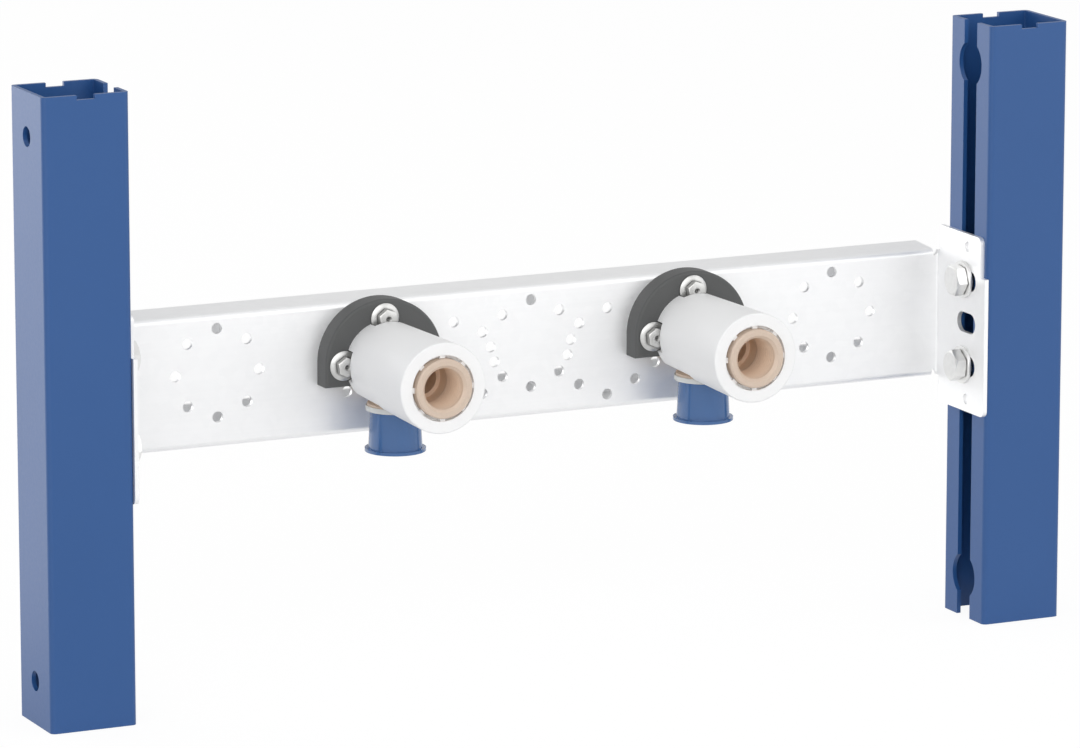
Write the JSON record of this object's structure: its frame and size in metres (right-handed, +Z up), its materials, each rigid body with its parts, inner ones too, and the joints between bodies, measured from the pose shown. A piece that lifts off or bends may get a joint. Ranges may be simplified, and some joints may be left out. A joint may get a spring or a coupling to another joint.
{
  "type": "wall tap mounting frame",
  "caption": "Mounting frame for an exposed wall mixer tap: blue channel uprights, a perforated folded cross plate and insulated elbows with threaded outlets.",
  "frame": {"origin": "on the level of the uprights' feet, under the middle of the frame's width and depth", "axes": "+X to the right seen from the tap side, +Y towards the wall, +Z up"},
  "size_m": [0.501, 0.1006, 0.28],
  "materials": {
    "blue_powder_coat": "satin powder coat",
    "galvanised_sheet": "bright galvanised",
    "zinc_fastener": "zinc plated",
    "gunmetal": "turned, satin",
    "dark_insulation": "moulded, matt",
    "white_sleeve": "moulded, satin",
    "pale_ring": "moulded, satin",
    "blue_socket": "moulded, satin"
  },
  "bodies": {
    "root": {"left_upright": "blue_powder_coat", "left_upper_bolt": "zinc_fastener", "left_upper_washer": "zinc_fastener", "left_upper_channel_nut": "zinc_fastener", "left_lower_bolt": "zinc_fastener", "left_lower_washer": "zinc_fastener", "left_lower_channel_nut": "zinc_fastener", "left_tap_insulating_base": "dark_insulation", "left_tap_elbow": "gunmetal", "left_tap_sleeve": "white_sleeve", "left_tap_spacer_ring": "pale_ring", "left_tap_pipe_socket": "blue_socket", "left_tap_top_screw": "zinc_fastener", "left_tap_left_screw": "zinc_fastener", "left_tap_right_screw": "zinc_fastener", "right_upright": "blue_powder_coat", "right_upper_bolt": "zinc_fastener", "right_upper_washer": "zinc_fastener", "right_upper_channel_nut": "zinc_fastener", "right_lower_bolt": "zinc_fastener", "right_lower_washer": "zinc_fastener", "right_lower_channel_nut": "zinc_fastener", "right_tap_insulating_base": "dark_insulation", "right_tap_elbow": "gunmetal", "right_tap_sleeve": "white_sleeve", "right_tap_spacer_ring": "pale_ring", "right_tap_pipe_socket": "blue_socket", "right_tap_top_screw": "zinc_fastener", "right_tap_left_screw": "zinc_fastener", "right_tap_right_screw": "zinc_fastener", "mounting_plate": "galvanised_sheet"}
  },
  "joints": []
}
